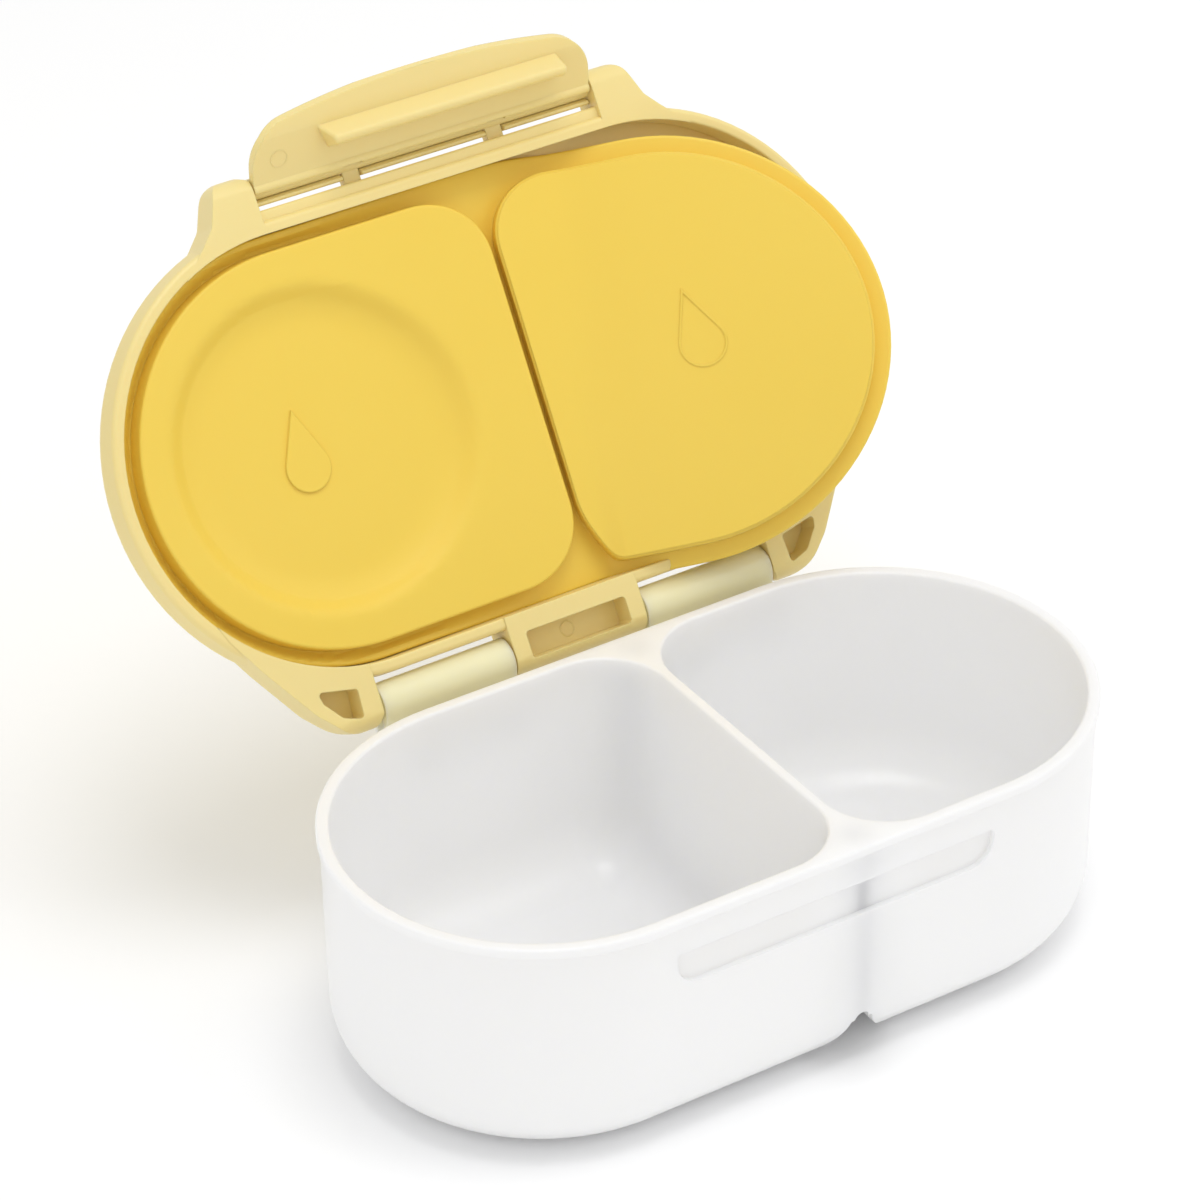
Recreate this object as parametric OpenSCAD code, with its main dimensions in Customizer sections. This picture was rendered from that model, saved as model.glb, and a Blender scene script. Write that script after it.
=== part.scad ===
// Two-compartment toddler snack box, shown with its lid thrown back.
// Origin: on the resting face, under the middle of the larger compartment. +X runs along the hinge
// from the larger to the smaller compartment, +Y points at the hinge, +Z is up.
// Lid, latch and seal are drawn closed and then swung open about their real axes.

/* [Tub] */
// Length over the rim
tub_l = 164; // [150:1:180]
// Width over the rim
tub_w = 85; // [78:1:95]
// Height of the rim above the table
tub_h = 52; // [48:1:60]
// Wall thickness just below the rim
wall = 2; // [1.6:0.1:2.6]
// Floor thickness
floor_t = 5; // [2.5:0.1:5.5]
// Outer draft of the wall, millimetres in per millimetre down
outer_draft = 0.012; // [0.005:0.001:0.02]
// Draft of the compartment walls, millimetres in per millimetre down
cavity_draft = 0.04; // [0.03:0.005:0.05]
// Radius between the outer wall and the resting face
foot_r = 14; // [12:0.5:17]
// Radius between the compartment walls and their floors
bowl_r = 12; // [9:0.5:13]
// Plan radius of the compartment corners beside the divider
corner_r = 14; // [14:0.5:17]
// Height of the thickened rim band
rim_h = 2.2; // [1.6:0.1:3]
// How far the rim band stands proud of the wall
rim_step = 0.6; // [0.3:0.1:1]

/* [Divider] */
// Centre line of the divider, right of the tub's middle
divider_x = 6.5; // [-15:0.5:15]
// Divider thickness at its top edge
divider_t = 2.2; // [1.8:0.1:3]
// Height of the valley under the divider
valley_h = 12; // [8:0.5:14]
// Radius of the two bowls' edges that meet in the valley
valley_r = 15; // [12:0.5:18]
// Rounding at the top of the valley
valley_top_r = 1.6; // [1:0.1:2]
// Radius of the core hole up each end of the divider
core_r = 2.5; // [1.5:0.1:2.7]

/* [Catch] */
// Length of the recess that the latch bar snaps into
catch_l = 72; // [66:1:80]
// Height of the recess
catch_h = 7.4; // [7:0.1:9]
// Depth of the recess
catch_d = 1.1; // [0.8:0.1:1.3]
// Plan radius of the recess's lower corners
catch_r = 5; // [3:0.5:6]
// Depth of the recess's middle below the rim's top
catch_drop = 12.1; // [11.8:0.1:12.5]

/* [Hinge] */
// Distance of the hinge axis behind the rim
pin_back = 8.4; // [8:0.1:10]
// Depth of the hinge axis below the rim
pin_drop = 1.8; // [1:0.1:3]
// Radius of the hinge pin rods moulded on the lid
pin_r = 1.8; // [1.5:0.1:2.2]
// Running clearance round pins and rods
run_gap = 0.08; // [0.05:0.01:0.1]
// Outer radius of the tub's hinge hooks
hook_r = 4.2; // [3.6:0.1:4.4]
// Inner end of each hook, from the tub's middle
hook_x0 = 15.6; // [12:0.2:20]
// Outer end of each hook, from the tub's middle
hook_x1 = 45.4; // [40:0.2:50]
// Free gap beside hooks, ears and latch
side_gap = 0.4; // [0.3:0.05:0.6]
// Outer radius of the lid's knuckle and ears
ear_r = 4.1; // [3.9:0.1:4.6]
// How far each ear reaches along the hinge past the hook
ear_l = 20.6; // [19:0.2:21.6]
// Plan radius of an ear's tip
ear_tip_r = 5; // [4:0.1:5.4]
// Width of the wall left round the pockets in knuckle and ears
pocket_wall = 3.6; // [3.2:0.1:4]
// Depth of the arch cut under a hook's bracket
arch_h = 4; // [3:0.1:5.5]
// Lid angle in the shown pose, from closed
lid_open = 122; // [90:1:125]

/* [Lid] */
// How far the lid reaches out past the rim all round
lid_over = 3.4; // [2.8:0.1:4]
// Thickness of the lid's top
lid_t = 1.2; // [1.2:0.1:2.2]
// Depth of the skirt below the rim's top
skirt_drop = 5.4; // [4.5:0.1:6]
// Gap between the skirt and the rim
skirt_gap = 0.4; // [0.4:0.1:0.8]
// Chamfer inside the skirt's lower edge at the hinge, so that it swings clear of the rim
lead_in = 0.7; // [0.6:0.1:1]
// Chamfer outside the skirt's lower edge
skirt_chamfer = 1; // [0.6:0.1:1.2]
// How far the skirt's outer face leans in towards its lower edge
skirt_lean = 0.5; // [0.2:0.1:0.6]
// Radius of the lid's upper edge
lid_edge_r = 3.2; // [2.5:0.1:3.6]

/* [Latch] */
// Distance of the latch rod in front of the rim
rod_fwd = 8.7; // [8.2:0.1:10]
// Depth of the latch rod's axis below the rim's top
rod_drop = 1.5; // [1:0.1:2.5]
// Radius of the latch rod
rod_r = 1.5; // [1.3:0.1:1.8]
// Outer radius of the latch's hooks round the rod
clip_r = 2.9; // [2.6:0.1:3.1]
// Half width of the latch
latch_x = 38.4; // [36:0.2:42]
// Reach of the latch from the rod to the middle of its free edge
latch_l = 17.4; // [16:0.2:20]
// Thickness of the latch
latch_t = 1.7; // [1.4:0.1:2.2]
// How far the clip stands proud of the latch's inner face
bead = 0.5; // [0.3:0.1:0.8]
// Plan radius of the latch's free corners
latch_corner_r = 9; // [6:0.5:10]
// Bow radius of the latch's free edge
latch_bow_r = 195; // [150:5:250]
// Left end of the snap bar
bar_x0 = -24; // [-30:0.5:-20]
// Right end of the snap bar
bar_x1 = 31; // [26:0.5:33]
// Distance from the rod to the near side of the snap bar
bar_near = 6.4; // [6:0.1:7]
// Distance from the rod to the far side of the snap bar
bar_far = 11.8; // [11.4:0.1:12.2]
// Height of the snap bar above the latch
bar_rise = 5; // [4.6:0.1:5.2]
// Width of the snap bar's crest
bar_crest = 1.7; // [1.2:0.1:2]
// Centre of the two posts that carry the rod
post_x = 16.4; // [12:0.2:20]
// Width of a post
post_w = 3.6; // [3:0.1:4.5]
// Depth of a post below the rod's axis
post_under = 0.6; // [0.4:0.1:0.8]
// Latch angle in the shown pose, from closed
latch_open = 58; // [40:1:70]

/* [Seal] */
// Thickness of the seal's edge flange
flange_t = 1.2; // [1:0.1:1.6]
// Free space above and below the flange
flange_gap = 0.1; // [0.05:0.05:0.2]
// How far the flange tucks into the lid's groove
flange_tuck = 0.4; // [0.3:0.1:0.6]
// How far the pads reach down into the compartments
pad_h = 4.5; // [3:0.1:5.5]
// Free gap between pad and compartment wall
pad_gap = 0.3; // [0.3:0.05:0.6]
// Thickness of the seal's skin
skin = 0.9; // [0.8:0.1:1.6]
// Diameter of the dish in the left pad
dish_d = 64; // [56:1:68]
// Depth of the dish
dish_deep = 2.6; // [1.5:0.1:3]
// Rise of the right pad's crown
crown = 0.9; // [0.5:0.1:1.5]
// Length of the drop symbols
drop_l = 16.4; // [12:0.2:20]
// Relief of the drop symbols
drop_h = 0.35; // [0.2:0.05:0.5]

/* [Hidden] */
$fn = 64;
tub_color = "#ECECEE";
shell_color = "#F2DD8E";
seal_color = "#F4C62E";
over = 1;                                            // overshoot of a cut past the face it opens

foot_x = 38;                                         // from the tub's middle to the origin
wall_l = tub_l - 2*rim_step;
wall_w = tub_w - 2*rim_step;
bay_w = wall_w - 2*wall;                             // compartments' width at the rim
bay_end = (wall_l - bay_w)/2 - wall;                 // centre of the compartments' round ends
bay_h = tub_h - floor_t;
lid_l = tub_l + 2*lid_over;
lid_w = tub_w + 2*lid_over;
lid_in_w = tub_w + 2*skirt_gap;
lid_in_l = tub_l + 2*skirt_gap;
under_z = tub_h + flange_t + 2*flange_gap;           // underside of the lid's top
top_z = under_z + lid_t;
skirt_z = tub_h - skirt_drop;
pin_y = tub_w/2 + pin_back;
pin_z = tub_h - pin_drop;
ear_x0 = hook_x1 + side_gap;
knuckle_x = hook_x0 - side_gap;
rod_y = -tub_w/2 - rod_fwd;
rod_z = tub_h - rod_drop;
rod_x = latch_x + side_gap;
catch_z = tub_h - catch_drop;                        // middle of the recess
plate_in = clip_r - bead;                            // the latch's inner face, from the rod's axis
rail_y = rod_y + clip_r + 2*side_gap;                // front face of the lid's rail
lid_root = 6;                                        // how far ears and knuckle reach into the lid
ear_skin = 1.5;                                      // left above the pockets, from the pin's axis
bracket_h = 9;                                       // height of a hook's bracket
bracket_lip = 1.5;                                   // from the pin's axis to the bracket's lower edge
flange_w = lid_in_w + 2*flange_tuck - 2*flange_gap;
flange_l = lid_in_l + 2*flange_tuck - 2*flange_gap;
left_pad_x = -bay_end + (bay_w/2 - dish_d/2)/4;      // middle of the left pad's dish
right_pad_x = (divider_x + bay_end + bay_w/2)/2;
arc_steps = 12;                                      // straight runs in the section of dish and crown

// Where a compartment's flat side lies, seen with its round end on the left
function bay_flat(side, gap) = -side*divider_x - divider_t/2 - gap;

// ---- profiles: x is the distance from the centre line, y is the height

// A wall's section from the centre line out, with a foot radius and draft. The foot's centre is kept to
// whole micrometres, so that arc and wall end in the same point.
module half_profile(r, h, draft, foot) {
    cx = round(1000*(r - draft*(h - foot) - foot))/1000;
    polygon([[0, 0], [cx, 0], [cx + foot, foot], [r, h], [0, h]]);
    translate([cx, foot]) intersection() {
        circle(foot);
        translate([0, -foot]) square(foot);
    }
}

// Sweep a half profile round a stadium of the given size
module stadium_sweep(l, w) {
    for (turn = [0, 180]) rotate([0, 0, turn]) {
        translate([(l - w)/2, 0, 0]) rotate([0, 0, -90]) rotate_extrude(angle = 180) children();
        rotate([90, 0, 90]) linear_extrude(l - w, center = true) children();
    }
}

// A plain stadium plate between two heights
module stadium_plate(l, w, z0, z1) {
    stadium_sweep(l, w) translate([0, z0]) square([w/2, z1 - z0]);
}

// A D-shaped bowl: round end on the left, flat face with rounded corners at x = flat_x
module d_bowl(round_x, flat_x, w, h, r, draft, foot) {
    translate([round_x, 0, 0]) rotate([0, 0, 90]) rotate_extrude(angle = 180)
        half_profile(w/2, h, draft, foot);
    translate([round_x, 0, 0]) rotate([90, 0, 90]) linear_extrude(flat_x - r - round_x)
        for (m = [0, 1]) mirror([m, 0]) half_profile(w/2, h, draft, foot);
    for (s = [-1, 1]) translate([flat_x - r, s*(w/2 - r), 0]) rotate([0, 0, s < 0 ? -90 : 0])
        rotate_extrude(angle = 90) half_profile(r, h, draft, foot);
    translate([flat_x - r, w/2 - r, 0]) rotate([90, 0, 0])
        linear_extrude(w - 2*r) half_profile(r, h, draft, foot);
}

// Plan of a compartment, inset by a gap; side is -1 for the left one and 1 for the right one
module bay_plan(side, gap) {
    w = bay_w - 2*gap;
    r = corner_r - gap;
    flat = bay_flat(side, gap);
    mirror([side < 0 ? 0 : 1, 0, 0]) {
        translate([-bay_end, 0]) intersection() {
            circle(w/2, $fn = 96);
            translate([-w, -w/2]) square([w, w]);
        }
        translate([-bay_end, -w/2]) square([flat - r + bay_end, w]);
        translate([-bay_end, -w/2 + r]) square([flat + bay_end, w - 2*r]);
        for (s = [-1, 1]) translate([flat - r, s*(w/2 - r)]) circle(r);
    }
}

module bay_plate(side, gap, z0, z1) {
    translate([0, 0, z0]) linear_extrude(z1 - z0) bay_plan(side, gap);
}

// Everything is drawn about the tub's middle, then moved so that the origin lies on the foot
module on_foot() {
    translate([foot_x, 0, 0]) children();
}

// Pose helpers: swing a closed piece to where it is shown
module swing_lid() {
    translate([0, pin_y, pin_z]) rotate([-lid_open, 0, 0]) translate([0, -pin_y, -pin_z]) children();
}
module swing_latch() {
    translate([0, rod_y, rod_z]) rotate([-latch_open, 0, 0]) translate([0, -rod_y, -rod_z]) children();
}

// Extrude a profile drawn in (y, z) along x between two stations
module along_x(x0, x1) {
    translate([x0, 0, 0]) rotate([90, 0, 90]) linear_extrude(x1 - x0) children();
}

// ---- tub

module compartment(side) {
    grow = cavity_draft*over;
    translate([0, 0, floor_t]) mirror([side < 0 ? 0 : 1, 0, 0])
        d_bowl(-bay_end, bay_flat(side, 0) + grow, bay_w + 2*grow, bay_h + over, corner_r + grow,
            cavity_draft, bowl_r);
}

// The valley between the two bowls' rounded edges, open underneath
module valley() {
    half = valley_r + valley_top_r;
    translate([divider_x, wall_w/2 + over, 0]) rotate([90, 0, 0]) linear_extrude(wall_w + 2*over) {
        difference() {
            translate([-half, -over]) square([2*half, valley_h - valley_top_r + over]);
            for (s = [-1, 1]) translate([s*half, valley_r]) circle(valley_r);
        }
        translate([0, valley_h - valley_top_r]) circle(valley_top_r, $fn = 32);
    }
}

// Core holes that keep the ends of the divider from being solid lumps
module cores() {
    for (s = [-1, 1]) translate([divider_x, s*(bay_w/2 - core_r + 0.3), 0])
        cylinder(h = tub_h - wall, r1 = core_r + 0.3, r2 = core_r - 0.3, $fn = 32);
}

module catch_recess() {
    y0 = -wall_w/2 + outer_draft*(tub_h - catch_z) + catch_d;
    translate([0, y0, catch_z]) rotate([90, 0, 0]) linear_extrude(2*catch_d + over) {
        translate([-catch_l/2, -catch_h/2 + catch_r]) square([catch_l, catch_h - catch_r]);
        translate([-catch_l/2 + catch_r, -catch_h/2]) square([catch_l - 2*catch_r, catch_h]);
        for (s = [-1, 1]) translate([s*(catch_l/2 - catch_r), -catch_h/2 + catch_r]) circle(catch_r);
    }
}

// One open hook that the lid's pin snaps into, with its arched bracket
module hinge_hook() {
    shelf_z = skirt_z - side_gap - rim_step/2;       // the closed skirt passes above this
    foot_z = shelf_z - bracket_h;
    wall_y = wall_w/2 - wall/2;
    mouth = 0.8*pin_r;                               // half the width of the snap-in slot
    arch_r = 14;
    difference() {
        along_x(hook_x0, hook_x1) difference() {
            union() {
                translate([pin_y, pin_z]) circle(hook_r);
                polygon([[wall_y, foot_z], [wall_y, shelf_z], [pin_y - hook_r + 0.2, shelf_z],
                    [pin_y - hook_r, pin_z], [pin_y, pin_z], [pin_y + 0.9*hook_r, pin_z - 0.4*hook_r],
                    [pin_y - bracket_lip, foot_z + bracket_h/2]]);
            }
            translate([pin_y, pin_z]) circle(pin_r + run_gap);
            translate([pin_y, pin_z]) rotate(-18) translate([0, -mouth]) square([hook_r + over, 2*mouth]);
        }
        translate([(hook_x0 + hook_x1)/2, wall_w/2, foot_z + arch_h - arch_r]) rotate([-90, 0, 0])
            cylinder(h = pin_back + 4*over, r = arch_r);
    }
}

module tub() {
    color(tub_color, 0.6) on_foot() difference() {
        union() {
            stadium_sweep(wall_l, wall_w) half_profile(wall_w/2, tub_h, outer_draft, foot_r);
            stadium_plate(tub_l, tub_w, tub_h - rim_h, tub_h);
            hinge_hook();
            mirror([1, 0, 0]) hinge_hook();
        }
        for (side = [-1, 1]) compartment(side);
        valley();
        cores();
        catch_recess();
    }
}

// ---- lid

// The lid's outer section: leaning skirt with a chamfered lower edge and a large rounded upper edge
module lid_section() {
    h = top_z - skirt_z;
    low = lid_w/2 - skirt_lean;
    translate([0, skirt_z]) {
        polygon([[0, 0], [low - skirt_chamfer, 0], [low, skirt_chamfer], [lid_w/2, h - lid_edge_r], [0, h - lid_edge_r]]);
        square([lid_w/2 - lid_edge_r, h]);
        translate([lid_w/2 - lid_edge_r, h - lid_edge_r]) circle(lid_edge_r);
    }
}

// Section of knuckle and ears: round the pin behind, flush with the lid in front
module ear_section() {
    translate([pin_y, pin_z]) circle(ear_r);
    polygon([[lid_w/2 - lid_root, skirt_z], [pin_y, pin_z - ear_r], [pin_y, pin_z + ear_r],
        [lid_w/2 - lid_root, top_z - 0.4]]);
}

// Plan of an ear at the hinge, right-hand side: its flank runs from the lid's round end to its tip
module hinge_ear_plan() {
    tip_y = pin_y + ear_r;
    polygon([[ear_x0, lid_w/2 - lid_root], [ear_x0 + ear_l, lid_w/2 - 2.6*lid_root],
        [ear_x0 + ear_l, lid_w/2 - 1.3*lid_root], [ear_x0 + 0.84*ear_l, lid_w/2 - lid_root/2],
        [ear_x0 + 0.66*ear_l, pin_y - ear_r/2], [ear_x0 + 0.56*ear_l, pin_y + 0.2*ear_r],
        [ear_x0 + ear_tip_r, tip_y], [ear_x0, tip_y - side_gap]]);
    translate([ear_x0 + 1.35*ear_tip_r, tip_y - ear_tip_r]) circle(ear_tip_r);
}

module hinge_ear() {
    intersection() {
        translate([0, 0, skirt_z - ear_r]) linear_extrude(top_z - skirt_z + 2*ear_r) hinge_ear_plan();
        along_x(ear_x0, ear_x0 + ear_l + over) ear_section();
    }
}

// Pockets that keep ears and knuckle from being solid lumps, open towards the tub
module lift_pocket() {
    z0 = skirt_z - ear_r - over;
    translate([0, 0, z0]) linear_extrude(pin_z + ear_skin - z0) children();
}
module hinge_ear_pocket() {
    inner_x = ear_x0 + pocket_wall;
    outer_x = ear_x0 + 0.6*ear_l;
    lift_pocket() polygon([[inner_x, lid_w/2 - 0.8], [outer_x, lid_w/2 - 2.2],
        [outer_x - 2, lid_w/2 + 3], [inner_x + 1, pin_y + ear_r - 0.8*pocket_wall]]);
}
module knuckle_pocket() {
    lift_pocket() translate([pocket_wall - knuckle_x, lid_w/2 + 0.9])
        square([2*(knuckle_x - pocket_wall), pin_y + ear_r - lid_w/2 - 0.9 - 0.7*pocket_wall]);
}

// Plan of an ear at the latch, right-hand side
module latch_ear_plan() {
    tip_y = rod_y - clip_r - 2*side_gap;
    tip_r = 3.4;
    flank = 17;
    polygon([[rod_x, lid_root - lid_w/2], [rod_x + flank, lid_root - lid_w/2],
        [rod_x + 0.8*flank, 1.6 - lid_w/2], [rod_x + 0.68*flank, -lid_w/2 - 0.8],
        [rod_x + tip_r + 1.5 + tip_r, tip_y + tip_r], [rod_x + tip_r + 1.5, tip_y], [rod_x + 1.6, tip_y],
        [rod_x, tip_y + 1.6]]);
    translate([rod_x + tip_r + 1.5, tip_y + tip_r]) circle(tip_r);
}

module latch_ear() {
    r = clip_r + 2*side_gap;
    intersection() {
        translate([0, 0, skirt_z - over]) linear_extrude(top_z - skirt_z + 2*over) latch_ear_plan();
        along_x(rod_x, rod_x + ear_l) {
            translate([rod_y, rod_z]) circle(r);
            polygon([[lid_root + over - lid_w/2, skirt_z], [-lid_w/2, skirt_z], [rod_y, rod_z - r],
                [rod_y, rod_z + r], [lid_root + over - lid_w/2, top_z - 0.2]]);
        }
    }
}

// Hinge pins, latch rod and the two posts that carry the rod
module lid_rods() {
    for (s = [-1, 1]) translate([s*(knuckle_x + ear_x0)/2, pin_y, pin_z]) rotate([0, 90, 0])
        cylinder(h = ear_x0 - knuckle_x + 2*over, r = pin_r, center = true, $fn = 48);
    translate([0, rod_y, rod_z]) rotate([0, 90, 0])
        cylinder(h = 2*rod_x + 2*over, r = rod_r, center = true, $fn = 48);
    for (s = [-1, 1]) along_x(s*post_x - post_w/2, s*post_x + post_w/2) {
        translate([rod_y, rod_z]) circle(rod_r);
        translate([rod_y, rod_z - post_under]) square([rod_fwd - lid_over + 2*over, post_under + rod_r]);
    }
}

// Stiff rail along the lid's front edge, between the latch ears
module front_rail() {
    slope = 1.2;
    along_x(-rod_x - over, rod_x + over)
        polygon([[2 - lid_w/2, skirt_z], [-lid_w/2, skirt_z], [rail_y, skirt_z + slope],
            [rail_y, top_z - lid_edge_r], [slope - lid_w/2, top_z - 0.9]]);
}

// Clears the skirt where the tub's hooks stand when the lid is closed
module hook_relief() {
    for (s = [0, 1]) mirror([s, 0, 0]) along_x(hook_x0 - side_gap, hook_x1 + side_gap)
        translate([pin_y, pin_z]) circle(hook_r + side_gap + rim_step/2);
}

// Opens the skirt's lower inner edge along the hinge side
module skirt_lead_in() {
    low = lid_in_w/2 + lead_in;
    intersection() {
        stadium_sweep(lid_in_l, lid_in_w) translate([0, skirt_z])
            polygon([[0, -over], [low, -over], [low, 0], [lid_in_w/2, 2*lead_in], [0, 2*lead_in]]);
        translate([-lid_l/2, 0.7*lid_in_w/2, skirt_z - over]) cube([lid_l, lid_w/2, 4*lead_in]);
    }
}

module lid() {
    color(shell_color) on_foot() swing_lid() {
        difference() {
            union() {
                stadium_sweep(lid_l, lid_w) lid_section();
                for (s = [0, 1]) mirror([s, 0, 0]) { hinge_ear(); latch_ear(); }
                along_x(-knuckle_x, knuckle_x) ear_section();
                front_rail();
            }
            stadium_plate(lid_in_l, lid_in_w, skirt_z - over, under_z);
            skirt_lead_in();
            stadium_plate(lid_in_l + 2*flange_tuck, lid_in_w + 2*flange_tuck, tub_h, under_z);
            hook_relief();
            for (s = [0, 1]) mirror([s, 0, 0]) hinge_ear_pocket();
            knuckle_pocket();
        }
        lid_rods();
    }
}

// ---- latch

// Plan of the latch: straight sides, round free corners, slightly bowed free edge
module latch_outline() {
    c = latch_corner_r;
    rise = 1.6;                                      // how far the corners stay back from the middle
    intersection() {
        union() {
            translate([-latch_x, c + rise - latch_l]) square([2*latch_x, latch_l - c - rise + clip_r]);
            translate([c - latch_x, -latch_l]) square([2*latch_x - 2*c, latch_l]);
            for (s = [-1, 1]) translate([s*(latch_x - c), c + rise - latch_l]) circle(c);
        }
        translate([0, latch_bow_r - latch_l]) circle(latch_bow_r, $fn = 200);
    }
}

// Section of the latch: clip round the rod, flat plate, flared finger edge
module latch_section() {
    bend = 12.2;                                     // where the finger edge starts, from the rod
    flare = 1.5;
    tip = latch_l + over/2;
    out = plate_in - latch_t;                        // outer face of the plate
    difference() {
        union() {
            circle(clip_r);
            translate([out, -bend]) square([latch_t, bend]);
            polygon([[-clip_r/2, -1], [out + 0.2, -1.2*clip_r], [plate_in - 0.2, -1]]);
            polygon([[out, -bend], [plate_in, -bend], [plate_in - flare, -tip], [out - flare, -tip]]);
        }
        circle(rod_r + run_gap);
        translate([0, -0.55*rod_r]) square([clip_r + over, 1.4*rod_r]);
    }
}

// The bar that snaps under the upper edge of the tub's recess: its far side is steep, its near side slopes
module snap_bar() {
    root_y = plate_in - 0.2;
    crest_y = plate_in + bar_rise;
    far = bar_far - bar_rise/8;
    along_x(0, bar_x1 - bar_x0) translate([rod_y, rod_z])
        polygon([[root_y, -bar_near], [crest_y, bar_crest - far], [crest_y, -far], [root_y, -bar_far]]);
}

module latch() {
    notch_z = -1.4;                                  // the clip is cut away above this round the posts
    end_slope = 0.35;                                // of the bar's ends, per millimetre of rise
    color(shell_color) on_foot() swing_lid() swing_latch() {
        difference() {
            intersection() {
                translate([0, rod_y, rod_z]) rotate([90, 0, 90])
                    linear_extrude(2*latch_x, center = true) latch_section();
                translate([0, rod_y + 20, rod_z]) rotate([90, 0, 0]) linear_extrude(40) latch_outline();
            }
            for (s = [-1, 1]) translate([s*post_x - post_w/2 - side_gap, rod_y - clip_r - over, rod_z + notch_z])
                cube([post_w + 2*side_gap, 2*clip_r + 2*over, clip_r - notch_z + over]);
        }
        intersection() {
            translate([bar_x0, 0, 0]) snap_bar();
            translate([0, 0, rod_z - bar_far - over]) linear_extrude(bar_far)
                polygon([[bar_x0, rod_y], [bar_x0, rod_y + plate_in], [bar_x0 + end_slope*bar_rise, rod_y + plate_in + bar_rise],
                    [bar_x1 - end_slope*bar_rise, rod_y + plate_in + bar_rise], [bar_x1, rod_y + plate_in], [bar_x1, rod_y]]);
        }
    }
}

// ---- seal

// A plain drop symbol, tip towards the latch
module drop(l) {
    r = l*0.31;
    side = 0.95*r;                                   // the flanks leave the circle just inside it
    circle(r, $fn = 40);
    polygon([[-side*cos(22), -side*sin(22)], [0, -l + r], [side*cos(22), -side*sin(22)]]);
}

// A flat-topped disc with a gently domed underside
module domed_disc(d, rise, h) {
    rotate_extrude() polygon(concat([[0, h]],
        [for (i = [0:arc_steps]) [d/2*i/arc_steps, rise*pow(i/arc_steps, 2)]], [[d/2, h]]));
}

// The space of the dish, open underneath
module dish_space(lift) {
    rotate_extrude() polygon(concat([[0, -over]], [[dish_d/2, -over]],
        [for (i = [arc_steps:-1:0]) [dish_d/2*i/arc_steps, lift + dish_deep*(1 - pow(i/arc_steps, 2))]]));
}

module pad_bodies() {
    z0 = tub_h - pad_h;
    z1 = tub_h + flange_gap + flange_t/2;
    difference() {
        bay_plate(-1, pad_gap, z0, z1);
        translate([left_pad_x, 0, z0]) dish_space(0);
    }
    intersection() {
        bay_plate(1, pad_gap, z0 - crown - over, z1);
        translate([right_pad_x, 0, z0 - crown]) domed_disc(1.4*bay_w, 2*crown, pad_h + crown + flange_t/2);
    }
}

module pad_hollows() {
    z0 = tub_h - pad_h + skin;
    difference() {
        bay_plate(-1, pad_gap + skin, z0, under_z);
        translate([left_pad_x, 0, z0 - skin]) dish_space(skin);
    }
    bay_plate(1, pad_gap + skin, z0, under_z);
}

module seal() {
    drop_z = tub_h - pad_h + dish_deep;
    color(seal_color) on_foot() swing_lid() {
        difference() {
            union() {
                stadium_plate(flange_l, flange_w, tub_h + flange_gap, tub_h + flange_gap + flange_t);
                pad_bodies();
            }
            pad_hollows();
        }
        translate([left_pad_x, 0, drop_z - drop_h]) linear_extrude(drop_h + 0.3) drop(drop_l);
        translate([right_pad_x, 0, tub_h - pad_h - crown - drop_h]) linear_extrude(drop_h + 0.6)
            difference() { drop(drop_l); drop(drop_l - 2.4); }
    }
}

tub();
lid();
latch();
seal();
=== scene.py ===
"""Studio scene of an open two-compartment toddler snack box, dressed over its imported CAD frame.

Every piece is modelled closed, in millimetres, about the middle of the tub. It is then swung to its
shown pose and scaled to metres in one step, so a piece lies exactly where the CAD has it.
"""
import logging
import math
from dataclasses import dataclass, field
from enum import Enum
from typing import Iterable, Sequence

import bmesh
import bpy
from mathutils import Matrix, Vector

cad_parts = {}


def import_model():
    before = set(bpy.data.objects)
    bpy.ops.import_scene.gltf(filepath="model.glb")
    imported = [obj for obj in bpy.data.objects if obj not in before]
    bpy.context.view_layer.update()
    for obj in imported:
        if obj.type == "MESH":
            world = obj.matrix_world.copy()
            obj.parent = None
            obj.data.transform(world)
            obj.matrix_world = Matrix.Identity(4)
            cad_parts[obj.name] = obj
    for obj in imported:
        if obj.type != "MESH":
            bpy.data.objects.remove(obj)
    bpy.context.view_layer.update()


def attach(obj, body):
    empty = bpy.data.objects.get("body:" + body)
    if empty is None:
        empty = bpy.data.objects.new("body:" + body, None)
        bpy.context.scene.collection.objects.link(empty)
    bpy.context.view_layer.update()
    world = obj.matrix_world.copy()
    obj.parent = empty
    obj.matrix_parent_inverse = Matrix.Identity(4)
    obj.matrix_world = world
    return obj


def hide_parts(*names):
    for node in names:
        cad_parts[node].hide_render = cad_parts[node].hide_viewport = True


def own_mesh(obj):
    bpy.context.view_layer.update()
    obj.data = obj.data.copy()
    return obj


LOG = logging.getLogger("snack_box")
MM = 0.001
Point = tuple[float, float]


# ---------------------------------------------------------------- driving dimensions


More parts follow.
